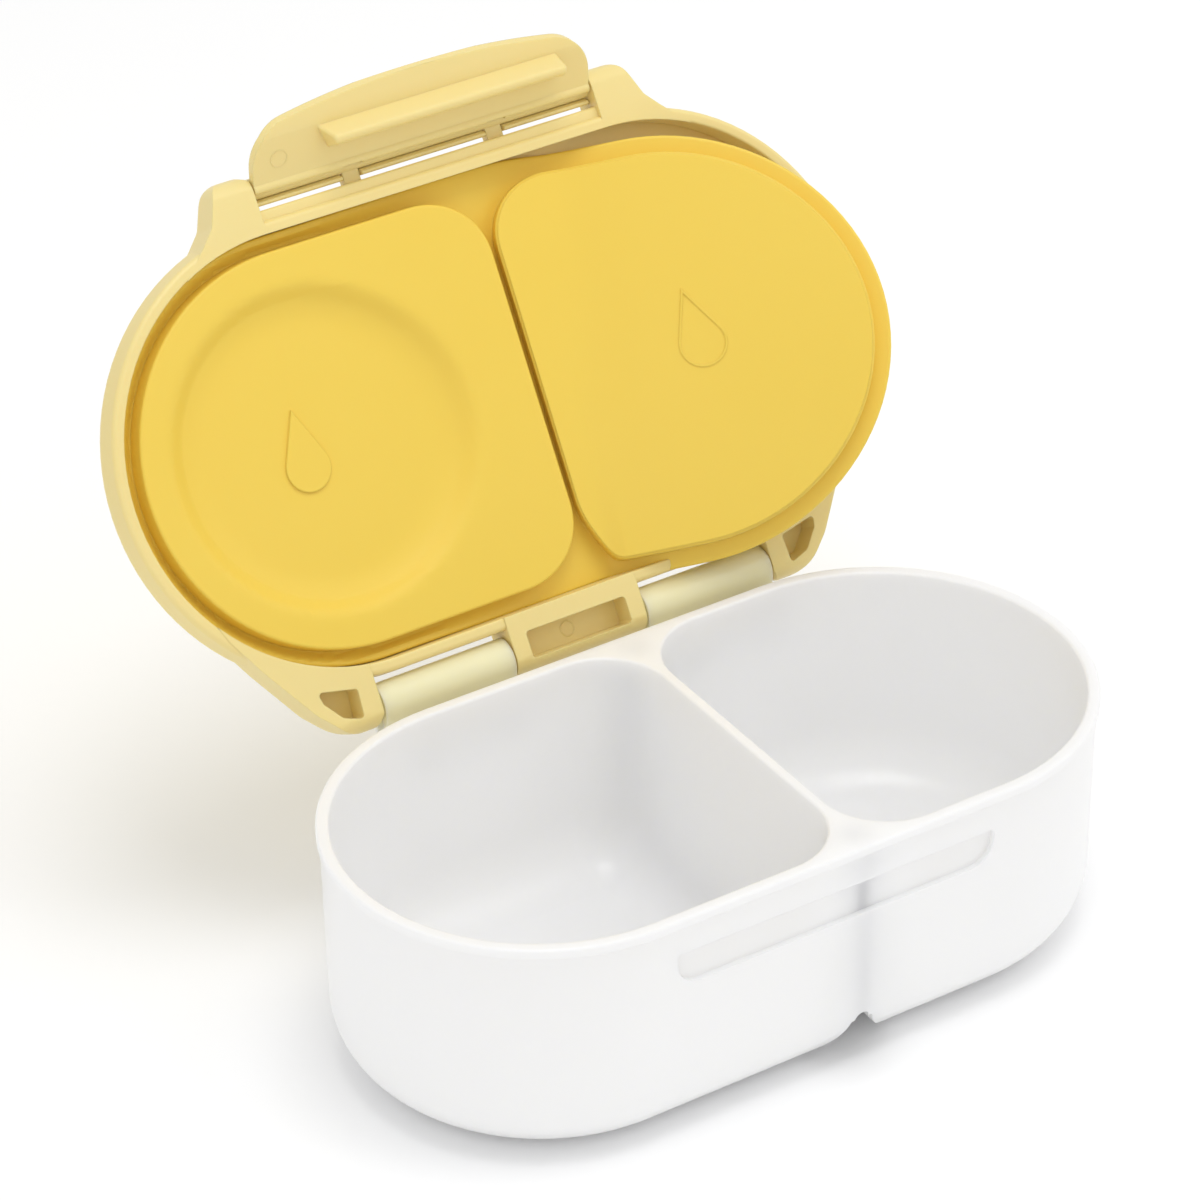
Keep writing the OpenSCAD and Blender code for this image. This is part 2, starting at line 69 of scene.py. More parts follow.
@dataclass(frozen=True)
class BoxSizes:
    """Driving dimensions of the snack box in millimetres, closed, about the tub's middle."""

    tub_l: float = 164.0
    tub_w: float = 85.0
    tub_h: float = 52.0
    wall: float = 2.0
    floor_t: float = 5.0
    outer_draft: float = 0.012
    cavity_draft: float = 0.04
    foot_r: float = 14.0
    bowl_r: float = 12.0
    corner_r: float = 14.0
    rim_h: float = 2.2
    rim_step: float = 0.6
    divider_x: float = 6.5
    divider_t: float = 2.2
    pin_back: float = 8.4
    pin_drop: float = 1.8
    lid_open: float = 122.0
    lid_over: float = 3.4
    lid_t: float = 1.2
    skirt_drop: float = 5.4
    skirt_gap: float = 0.4
    rod_fwd: float = 8.7
    rod_drop: float = 1.5
    rod_r: float = 1.5
    latch_open: float = 58.0
    flange_t: float = 1.2
    flange_gap: float = 0.1
    flange_tuck: float = 0.4
    foot_x: float = 38.0

    @property
    def wall_l(self) -> float:
        """Length over the wall below the rim band."""
        return self.tub_l - 2 * self.rim_step

    @property
    def wall_w(self) -> float:
        """Width over the wall below the rim band."""
        return self.tub_w - 2 * self.rim_step

    @property
    def bay_w(self) -> float:
        """Width of both compartments at the rim."""
        return self.wall_w - 2 * self.wall

    @property
    def bay_end(self) -> float:
        """Distance of the compartments' round ends' centres from the tub's middle."""
        return (self.wall_l - self.bay_w) / 2 - self.wall

    @property
    def under_z(self) -> float:
        """Height of the closed lid's underside."""
        return self.tub_h + self.flange_t + 2 * self.flange_gap

    @property
    def skirt_z(self) -> float:
        """Height of the closed skirt's lower edge."""
        return self.tub_h - self.skirt_drop

    @property
    def pin(self) -> Vector:
        """A point on the lid's hinge axis."""
        return Vector((0, self.tub_w / 2 + self.pin_back, self.tub_h - self.pin_drop))

    @property
    def rod(self) -> Vector:
        """A point on the latch rod's axis, with the lid closed."""
        return Vector((0, -self.tub_w / 2 - self.rod_fwd, self.tub_h - self.rod_drop))

    def bay_flat(self, side: int) -> float:
        """Where a compartment's flat side lies, seen with its round end on the left.

        Args:
            side: -1 for the larger, left compartment and 1 for the smaller one.

        Returns:
            The flat side's x in millimetres.
        """
        return -side * self.divider_x - self.divider_t / 2


SIZES = BoxSizes()


class Pose(Enum):
    """How a piece that is modelled closed is swung to where it is shown."""

    TUB = "tub"
    LID = "lid"
    LATCH = "latch"

    def matrix(self) -> Matrix:
        """Returns the move from closed millimetres to the shown place in metres."""
        move = Matrix.Diagonal((MM, MM, MM, 1)) @ Matrix.Translation((SIZES.foot_x, 0, 0))
        if self is not Pose.TUB:
            move = move @ swing(SIZES.pin, -SIZES.lid_open)
        if self is Pose.LATCH:
            move = move @ swing(SIZES.rod, -SIZES.latch_open)
        return move


def swing(centre: Vector, degrees: float) -> Matrix:
    """Returns a turn about the X direction through a point.

    Args:
        centre: A point on the axis.
        degrees: The angle, right-handed about +X.

    Returns:
        The transform.
    """
    turn = Matrix.Rotation(math.radians(degrees), 4, "X")
    return Matrix.Translation(centre) @ turn @ Matrix.Translation(-centre)


# ---------------------------------------------------------------- outlines and mesh helpers


def arc(centre: Point, radius: float, start: float, end: float, steps: int) -> list[Point]:
    """Returns points along a circular arc.

    Args:
        centre: The arc's centre.
        radius: Its radius.
        start: Its first angle in degrees.
        end: Its last angle in degrees.
        steps: How many straight runs it is made of.

    Returns:
        The steps + 1 points.
    """
    angles = [math.radians(start + (end - start) * i / steps) for i in range(steps + 1)]
    return [(centre[0] + radius * math.cos(a), centre[1] + radius * math.sin(a)) for a in angles]


def rounded(corners: Sequence[tuple[float, float, float]], steps: int = 5) -> list[Point]:
    """Returns a closed outline whose corners are rounded with tangent arcs.

    Args:
        corners: (x, y, radius) of each corner in order.
        steps: How many straight runs make each rounded corner.

    Returns:
        The outline's points.
    """
    outline: list[Point] = []
    count = len(corners)
    for i, (x, y, radius) in enumerate(corners):
        here = Vector((x, y))
        before = (Vector(corners[i - 1][:2]) - here).normalized()
        after = (Vector(corners[(i + 1) % count][:2]) - here).normalized()
        half = before.angle(after) / 2
        if radius <= 0 or half > math.radians(89):
            outline.append((x, y))
            continue
        centre = here + (before + after).normalized() * (radius / math.sin(half))
        first = here + before * (radius / math.tan(half)) - centre
        last = here + after * (radius / math.tan(half)) - centre
        turn = first.angle_signed(last)
        for k in range(steps + 1):
            spoke = first.copy()
            spoke.rotate(Matrix.Rotation(-turn * k / steps, 2))
            outline.append((centre.x + spoke.x, centre.y + spoke.y))
    return outline


class Sweep:
    """Carries a section along a route with bmesh spins and straight extrusions."""

    def __init__(self, section: Iterable[Vector]) -> None:
        """Starts a mesh with the section's points joined by edges.

        Args:
            section: The section's points at the start of the route.
        """
        self.bm = bmesh.new()
        verts = [self.bm.verts.new(p) for p in section]
        edges = [self.bm.edges.new(pair) for pair in zip(verts, verts[1:])]
        self.front: list = verts + edges

    def turn(self, centre: tuple[float, float], degrees: float, steps: int) -> None:
        """Turns the section about an upright axis.

        Args:
            centre: The axis's x and y.
            degrees: The angle, counter-clockwise from above.
            steps: How many rings the turn is made of.
        """
        spun = bmesh.ops.spin(self.bm, geom=self.front, cent=(*centre, 0), axis=(0, 0, 1),
                              dvec=(0, 0, 0), angle=math.radians(degrees), steps=steps,
                              use_merge=False, use_duplicate=False)
        self.front = spun["geom_last"]

    def run(self, x: float, y: float, steps: int = 1) -> None:
        """Extrudes the section straight.

        Args:
            x: How far along X.
            y: How far along Y.
            steps: How many rings the run is made of.
        """
        for _ in range(steps):
            edges = [e for e in self.front if isinstance(e, bmesh.types.BMEdge)]
            made = bmesh.ops.extrude_edge_only(self.bm, edges=edges)["geom"]
            verts = [v for v in made if isinstance(v, bmesh.types.BMVert)]
            ends = set(verts)
            bmesh.ops.translate(self.bm, verts=verts, vec=(x / steps, y / steps, 0))
            self.front = verts + [e for e in made if isinstance(e, bmesh.types.BMEdge)
                                  and e.verts[0] in ends and e.verts[1] in ends]

    def close(self) -> bmesh.types.BMesh:
        """Joins the last ring to the first, caps every open loop and returns the mesh."""
        bmesh.ops.remove_doubles(self.bm, verts=self.bm.verts, dist=0.001)
        bmesh.ops.holes_fill(self.bm, edges=[e for e in self.bm.edges if e.is_boundary], sides=0)
        bmesh.ops.recalc_face_normals(self.bm, faces=self.bm.faces)
        return self.bm


TURN_STEPS = 48


def stadium(length: float, width: float, section: Sequence[Point]) -> bmesh.types.BMesh:
    """Sweeps a section round a stadium.

    Args:
        length: The stadium's length.
        width: Its width, twice the section's reference distance.
        section: Points as (distance from the centre line, height).

    Returns:
        The capped mesh.
    """
    straight = (length - width) / 2
    sweep = Sweep(Vector((straight, -d, z)) for d, z in section)
    sweep.turn((straight, 0), 180, TURN_STEPS)
    sweep.run(-2 * straight, 0)
    sweep.turn((-straight, 0), 180, TURN_STEPS)
    sweep.run(2 * straight, 0)
    return sweep.close()


def bay(side: int, section: Sequence[Point]) -> bmesh.types.BMesh:
    """Sweeps a section round a compartment's outline.

    Args:
        side: -1 for the larger, left compartment and 1 for the smaller one.
        section: Points as (distance inwards from the compartment's rim, height).

    Returns:
        The capped mesh.
    """
    half, end, r = SIZES.bay_w / 2, SIZES.bay_end, SIZES.corner_r
    flat = SIZES.bay_flat(side)
    sweep = Sweep(Vector((-end, half - d, z)) for d, z in section)
    sweep.turn((-end, 0), 180, TURN_STEPS)
    sweep.run(flat - r + end, 0)
    sweep.turn((flat - r, r - half), 90, TURN_STEPS // 3)
    sweep.run(0, 2 * (half - r))
    sweep.turn((flat - r, half - r), 90, TURN_STEPS // 3)
    sweep.run(-(flat - r + end), 0)
    bm = sweep.close()
    if side > 0:
        bmesh.ops.scale(bm, verts=bm.verts, vec=(-1, 1, 1))
        bmesh.ops.recalc_face_normals(bm, faces=bm.faces)
    return bm


class Along(Enum):
    """The direction in which a flat outline is extruded."""

    X = Matrix(((0, 0, 1, 0), (1, 0, 0, 0), (0, 1, 0, 0), (0, 0, 0, 1)))
    Y = Matrix(((1, 0, 0, 0), (0, 0, 1, 0), (0, 1, 0, 0), (0, 0, 0, 1)))
    Z = Matrix.Identity(4)


def prism(outline: Sequence[Point], along: Along, low: float, high: float) -> bmesh.types.BMesh:
    """Extrudes a flat outline into a closed solid.

    Args:
        outline: Points as (y, z) for a prism along X, (x, z) along Y and (x, y) along Z.
        along: The direction of extrusion.
        low: Where it starts.
        high: Where it ends.

    Returns:
        The mesh.
    """
    bm = bmesh.new()
    face = bm.faces.new([bm.verts.new((x, y, low)) for x, y in outline])
    made = bmesh.ops.extrude_face_region(bm, geom=[face])["geom"]
    verts = [v for v in made if isinstance(v, bmesh.types.BMVert)]
    bmesh.ops.translate(bm, verts=verts, vec=(0, 0, high - low))
    bm.faces.ensure_lookup_table()
    bmesh.ops.transform(bm, matrix=along.value, verts=bm.verts)
    bmesh.ops.recalc_face_normals(bm, faces=bm.faces)
    return bm


def rod_between(x0: float, x1: float, centre: Vector, radius: float) -> bmesh.types.BMesh:
    """Makes a closed round rod along X.

    Args:
        x0: Its first end.
        x1: Its last end.
        centre: A point on its axis.
        radius: Its radius.

    Returns:
        The mesh.
    """
    return prism(arc((centre.y, centre.z), radius, 0, 360 - 360 / 40, 39), Along.X, x0, x1)


def ring_mark(radius: float, thick: float) -> bmesh.types.BMesh:
    """Makes the raised ring that an ejector pin leaves, lying flat about the origin.

    Args:
        radius: The ring's middle radius.
        thick: The radius of its section.

    Returns:
        The mesh.
    """
    bm = bmesh.new()
    bmesh.ops.create_circle(bm, cap_ends=False, segments=8, radius=thick)
    bmesh.ops.rotate(bm, verts=bm.verts, cent=(0, 0, 0), matrix=Matrix.Rotation(math.pi / 2, 3, "X"))
    bmesh.ops.translate(bm, verts=bm.verts, vec=(radius, 0, 0))
    bmesh.ops.spin(bm, geom=bm.verts[:] + bm.edges[:], cent=(0, 0, 0), axis=(0, 0, 1),
                   dvec=(0, 0, 0), angle=2 * math.pi, steps=32, use_merge=True,
                   use_duplicate=False)
    bmesh.ops.recalc_face_normals(bm, faces=bm.faces)
    return bm


def solid(bm: bmesh.types.BMesh, name: str = "work") -> bpy.types.Object:
    """Turns a bmesh into an object in the scene.

    Args:
        bm: The mesh, which is freed.
        name: The object's name.

    Returns:
        The object.
    """
    mesh = bpy.data.meshes.new(name)
    bm.to_mesh(mesh)
    bm.free()
    obj = bpy.data.objects.new(name, mesh)
    bpy.context.scene.collection.objects.link(obj)
    return obj


def combine(base: bpy.types.Object, operation: str, *others: bpy.types.Object) -> bpy.types.Object:
    """Joins, cuts or intersects solids and applies the result to the first.

    Args:
        base: The solid that is kept.
        operation: UNION, DIFFERENCE or INTERSECT.
        others: The solids that are used up.

    Returns:
        The base object with its new mesh.
    """
    for other in others:
        modifier = base.modifiers.new("Join", "BOOLEAN")
        modifier.operation = operation
        modifier.solver = "EXACT"
        modifier.object = other
        depsgraph = bpy.context.evaluated_depsgraph_get()
        mesh = bpy.data.meshes.new_from_object(base.evaluated_get(depsgraph))
        base.modifiers.clear()
        base.data = mesh
        bpy.data.objects.remove(other)
    return base


def soften(obj: bpy.types.Object, radius: float,
           past: Vector = Vector((-1000, -1000, -1000))) -> bpy.types.Object:
    """Rounds the sharp edges of a solid.

    Args:
        obj: The solid, whose mesh is changed.
        radius: The rounding's width.
        past: Only edges that lie wholly beyond this point in X, Y and Z are rounded.

    Returns:
        The same object.
    """
    bm = bmesh.new()
    bm.from_mesh(obj.data)
    bmesh.ops.remove_doubles(bm, verts=bm.verts, dist=0.001)
    bmesh.ops.dissolve_limit(bm, angle_limit=math.radians(0.5), verts=bm.verts, edges=bm.edges)
    sharp = [e for e in bm.edges if e.is_manifold and e.calc_face_angle(0) > math.radians(32)
             and all(v.co[i] > past[i] for v in e.verts for i in range(3))]
    bmesh.ops.bevel(bm, geom=sharp, offset=radius, offset_type="OFFSET", segments=4, profile=0.5,
                    affect="EDGES", clamp_overlap=True, material=-1)
    bm.to_mesh(obj.data)
    bm.free()
    return obj


# ---------------------------------------------------------------- finishes


def linear(colour: str) -> tuple[float, float, float, float]:
    """Turns an sRGB hex colour into linear red, green, blue and alpha.

    Args:
        colour: Six hex digits after a hash.

    Returns:
        The linear colour with an alpha of 1.
    """
    parts = [int(colour[i:i + 2], 16) / 255 for i in (1, 3, 5)]
    red, green, blue = (p / 12.92 if p <= 0.04045 else ((p + 0.055) / 1.055) ** 2.4 for p in parts)
    return (red, green, blue, 1.0)


def add_node(material: bpy.types.Material, kind: str, settings: dict | None = None,
             inputs: dict | None = None) -> bpy.types.Node:
    """Adds a shader node with its settings, values and links.

    Args:
        material: The material whose tree takes the node.
        kind: The node's Blender type name.
        settings: Attribute names and values.
        inputs: Socket names or numbers, each with a value or with a socket to link from.

    Returns:
        The node.
    """
    node = material.node_tree.nodes.new(kind)
    for name, value in (settings or {}).items():
        setattr(node, name, value)
    for name, value in (inputs or {}).items():
        if isinstance(value, bpy.types.NodeSocket):
            material.node_tree.links.new(value, node.inputs[name])
        else:
            node.inputs[name].default_value = value
    return node


@dataclass(frozen=True)
class MouldedPlastic:
    """Injection-moulded polypropylene or silicone: a soft body colour under a satin skin."""

    name: str
    colour: str
    shade: str
    roughness: float
    ior: float
    subsurface: float
    scatter_mm: float
    grain_mm: float = 0.35
    grain_depth_mm: float = 0.004
    edge_mm: float = 0.35
    transmission: float = 0.0
    radius: tuple[float, float, float] = (1.0, 0.8, 0.35)
    # core: the hinge pin's yellow, painted onto the plastic round the pin's axis as a painted show-through
    # tint
    core: str = ""
    pin_show_through_mm: float = 3.0

    def build(self) -> bpy.types.Material:
        """Makes the material.

        Returns:
            The material, with a Principled shader, a faint colour drift, a moulded grain and, when a core
            colour is given, a painted show-through tint round the hinge pin.
        """
        material = bpy.data.materials.new(self.name)
        material.use_nodes = True
        material.node_tree.nodes.clear()
        place = add_node(material, "ShaderNodeTexCoord").outputs["Object"]
        drift = add_node(material, "ShaderNodeTexNoise", {}, {
            "Vector": place, "Scale": 1 / (40 * MM), "Detail": 2.0, "Roughness": 0.4})
        colour = add_node(material, "ShaderNodeMix", {"data_type": "RGBA"}, {
            "Factor": drift.outputs["Fac"], "A": linear(self.colour), "B": linear(self.shade)})
        # painted show-through: the pin's yellow is mixed into the colour near the hinge axis, standing in
        # for light that passes through the pin
        if self.core:
            colour = self.paint_pin_show_through(material, place, colour.outputs["Result"])
        grain = add_node(material, "ShaderNodeTexNoise", {}, {
            "Vector": place, "Scale": 1 / (self.grain_mm * MM), "Detail": 3.0, "Roughness": 0.55})
        gloss = add_node(material, "ShaderNodeMapRange", {}, {
            "Value": drift.outputs["Fac"], "To Min": self.roughness - 0.04,
            "To Max": self.roughness + 0.04})
        edge = add_node(material, "ShaderNodeBevel", {"samples": 6}, {"Radius": self.edge_mm * MM})
        bump = add_node(material, "ShaderNodeBump", {}, {
            "Height": grain.outputs["Fac"], "Distance": self.grain_depth_mm * MM, "Strength": 1.0,
            "Normal": edge.outputs["Normal"]})
        skin = add_node(material, "ShaderNodeBsdfPrincipled", {}, {
            "Base Color": colour.outputs["Result"], "Roughness": gloss.outputs["Result"],
            "IOR": self.ior, "Subsurface Weight": self.subsurface,
            "Subsurface Radius": self.radius, "Subsurface Scale": self.scatter_mm * MM,
            "Transmission Weight": self.transmission, "Normal": bump.outputs["Normal"]})
        add_node(material, "ShaderNodeOutputMaterial", {}, {"Surface": skin.outputs["BSDF"]})
        return material


    def paint_pin_show_through(self, material: bpy.types.Material, place: bpy.types.NodeSocket,
                  colour: bpy.types.NodeSocket) -> bpy.types.Node:
        """Paints the hinge pin's yellow onto the plastic round the pin's axis, as a painted show-through
        tint.

        Args:
            material: The material being built.
            place: The socket with the object coordinates.
            colour: The socket with the plain colour.

        Returns:
            The node that gives the colour with the painted tint.
        """
        pin = SIZES.pin * MM
        offset = add_node(material, "ShaderNodeVectorMath", {"operation": "SUBTRACT"}, {
            0: place, 1: (0.0, pin.y, pin.z)})
        across = add_node(material, "ShaderNodeVectorMath", {"operation": "MULTIPLY"}, {
            0: offset.outputs["Vector"], 1: (0.0, 1.0, 1.0)})
        far = add_node(material, "ShaderNodeVectorMath", {"operation": "LENGTH"}, {
            0: across.outputs["Vector"]})
        share = add_node(material, "ShaderNodeMapRange", {"interpolation_type": "SMOOTHSTEP"}, {
            "Value": far.outputs["Value"], "From Min": self.pin_show_through_mm * MM,
            "From Max": 3 * self.pin_show_through_mm * MM, "To Min": 1.0, "To Max": 0.0})
        return add_node(material, "ShaderNodeMix", {"data_type": "RGBA"}, {
            "Factor": share.outputs["Result"], "A": colour, "B": linear(self.core)})


# Natural polypropylene, moulded: milky, with light spreading through the wall, and a painted yellow
# show-through tint round the hinge pin.
MILKY_PP = MouldedPlastic("natural polypropylene, moulded", "#FDFDFE", "#FCFCFD", 0.3, 1.49,
                          1.0, 3.0, transmission=0.06, radius=(1.0, 1.0, 0.95), core="#FBEBBB")
# Pale yellow polypropylene, moulded: nearly opaque, with a satin skin.
YELLOW_PP = MouldedPlastic("pale yellow polypropylene, moulded", "#EEDB96", "#ECD78F", 0.36, 1.49,
                           0.3, 1.5, radius=(1.0, 0.85, 0.6))
# Yellow silicone rubber, moulded: matte and soft, deeper in colour than the shell.
SILICONE = MouldedPlastic("yellow silicone rubber, moulded", "#EFCF58", "#EDCC50", 0.5, 1.42,
                          0.2, 1.2, edge_mm=0.5, radius=(1.0, 0.8, 0.5))


# ---------------------------------------------------------------- pieces


@dataclass
class Piece:
    """A moulded piece: its mesh in closed millimetres, and how it joins the frame."""

    name: str
    node: str
    body: str
    slot: str
    pose: Pose
    finish: MouldedPlastic

    def shape(self) -> bpy.types.Object:
        """Returns the piece's solid in closed millimetres."""
        raise NotImplementedError

    def build(self) -> bpy.types.Object:
        """Models, places and dresses the piece.

        Returns:
            The finished object, riding on its body.
        """
        obj = self.shape()
        obj.name = self.name
        obj.data.name = self.name
        bm = bmesh.new()
        bm.from_mesh(obj.data)
        bmesh.ops.remove_doubles(bm, verts=bm.verts, dist=0.0005)
        bmesh.ops.dissolve_degenerate(bm, edges=bm.edges, dist=0.0005)
        bmesh.ops.transform(bm, matrix=self.pose.matrix(), verts=bm.verts)
        bm.to_mesh(obj.data)
        bm.free()
        obj.data.shade_smooth()
        obj.data.set_sharp_from_angle(angle=math.radians(32))
        weighted = obj.modifiers.new("Flat faces", "WEIGHTED_NORMAL")
        weighted.keep_sharp = True
        weighted.weight = 80
        obj.data.materials.clear()
        obj.data.materials.append(self.finish.build())
        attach(obj, self.body)
        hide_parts(self.node)
        LOG.info("%s: %d faces", self.name, len(obj.data.polygons))
        return obj


@dataclass
class Tub(Piece):
    """The two-bowl tub with its rim band, latch recess, valley and hinge hooks."""

    edge_r: float = 0.55
    valley_h: float = 12.0
    valley_r: float = 15.0
    valley_top_r: float = 1.6
    core_r: float = 2.5
    catch_l: float = 72.0
    catch_h: float = 7.4
    catch_d: float = 1.1
    catch_r: float = 5.0
    catch_drop: float = 12.1
    hook_r: float = 4.2
    hook_x: Point = (15.6, 45.4)
    bore_r: float = 1.88
    bracket_h: float = 9.0
    arch_h: float = 4.0
    arch_r: float = 14.0

    def outer(self) -> bpy.types.Object:
        """Returns the tub's outside as a full solid."""
        s, e = SIZES, self.edge_r
        rim, wall, top = s.tub_w / 2, s.wall_w / 2, s.tub_h
        foot_x = wall - s.outer_draft * (top - s.foot_r) - s.foot_r
        section = [(rim - 9, top), *arc((rim - e, top - e), e, 90, 0, 5),
                   *arc((rim - 0.4, top - s.rim_h + 0.4), 0.4, 0, -90, 4),
                   (wall - s.outer_draft * s.rim_h, top - s.rim_h),
                   *arc((foot_x, s.foot_r), s.foot_r, 0, -90, 16)]
        return solid(stadium(s.tub_l, s.tub_w, section))

    def bowl(self, side: int) -> bpy.types.Object:
        """Returns the space of one compartment, flared where it rounds the rim's inner edge.

        Args:
            side: -1 for the larger, left compartment and 1 for the smaller one.

        Returns:
            The solid to cut away.
        """
        s, e = SIZES, self.edge_r
        depth = s.tub_h - s.floor_t
        foot = s.cavity_draft * (depth - s.bowl_r)
        section = [(-e, s.tub_h + 2), *arc((-e, s.tub_h - e), e, 90, 0, 5),
                   *arc((foot + s.bowl_r, s.floor_t + s.bowl_r), s.bowl_r, 180, 270, 14)]
        return solid(bay(side, section))

    def valley(self) -> bpy.types.Object:
        """Returns the space under the divider, between the bowls' rounded edges."""
        half = self.valley_r + self.valley_top_r
        dx, r, top = SIZES.divider_x, self.valley_r, self.valley_h - self.valley_top_r
        outline = [(dx - half, -3), (dx + half, -3), (dx + half, 0),
                   *arc((dx + half, r), r, 270, 198, 12), *arc((dx, top), self.valley_top_r, 0, 180, 8),
                   *arc((dx - half, r), r, -18, -90, 12)]
        return solid(prism(outline, Along.Y, -SIZES.tub_w, SIZES.tub_w))

    def core(self, end: int) -> bpy.types.Object:
        """Returns the core hole up one end of the divider.

        Args:
            end: -1 for the latch side and 1 for the hinge side.

        Returns:
            The solid to cut away.
        """
        bm = bmesh.new()
        depth = SIZES.tub_h - SIZES.wall
        bmesh.ops.create_cone(bm, cap_ends=True, cap_tris=False, segments=32,
                              radius1=self.core_r + 0.3, radius2=self.core_r - 0.3, depth=depth)
        y = end * (SIZES.bay_w / 2 - self.core_r + 0.3)
        bmesh.ops.translate(bm, verts=bm.verts, vec=(SIZES.divider_x, y, depth / 2 - 0.01))
        return solid(bm)

    def catch(self) -> bpy.types.Object:
        """Returns the recess that the latch bar snaps into."""
        x, h = self.catch_l / 2, self.catch_h / 2
        z = SIZES.tub_h - self.catch_drop
        outline = rounded([(-x, z - h, self.catch_r), (x, z - h, self.catch_r),
                           (x, z + h, 0.8), (-x, z + h, 0.8)])
        depth = -SIZES.wall_w / 2 + SIZES.outer_draft * self.catch_drop + self.catch_d
        return solid(prism(outline, Along.Y, depth - 4, depth))

    def hook(self) -> bpy.types.Object:
        """Returns one hinge hook on its arched bracket, on the right-hand side."""
        pin, r = SIZES.pin, self.hook_r
        shelf = SIZES.skirt_z - 0.7
        foot, wall_y = shelf - self.bracket_h, SIZES.wall_w / 2 - 1
        outline = [(wall_y, foot), (wall_y, shelf), (pin.y - r + 0.1, shelf), (pin.y - r, pin.z),
                   *arc((pin.y, pin.z), r, 180, -22, 24), (pin.y - 1.5, foot + self.bracket_h / 2)]
        hook = solid(prism(outline[::-1], Along.X, *self.hook_x))
        bore = solid(rod_between(self.hook_x[0] - 1, self.hook_x[1] + 1, pin, self.bore_r))
        slot = [(-1.45, -self.bore_r * 0.6), (1.45, -self.bore_r * 0.6), (1.45, -9), (-1.45, -9)]
        turn = Matrix.Rotation(math.radians(-18), 2)
        mouth = [(pin.y + p.x, pin.z + p.y) for p in (turn @ Vector(q) for q in slot)]
        gap = solid(prism(mouth, Along.X, self.hook_x[0] - 1, self.hook_x[1] + 1))
        middle = (self.hook_x[0] + self.hook_x[1]) / 2
        arch_z = foot + self.arch_h - self.arch_r
        arch = solid(prism(arc((middle, arch_z), self.arch_r, 0, 355, 71), Along.Y, wall_y + 1, pin.y + 8))
        return combine(hook, "DIFFERENCE", bore, gap, arch)

    def shape(self) -> bpy.types.Object:
        """Returns the whole tub."""
        right = self.hook()
        left = self.hook()
        left.data.transform(Matrix.Diagonal((-1, 1, 1, 1)))
        left.data.flip_normals()
        tub = combine(self.outer(), "UNION", right, left)
        return combine(tub, "DIFFERENCE", self.bowl(-1), self.bowl(1), self.valley(),
                       self.core(-1), self.core(1), self.catch())


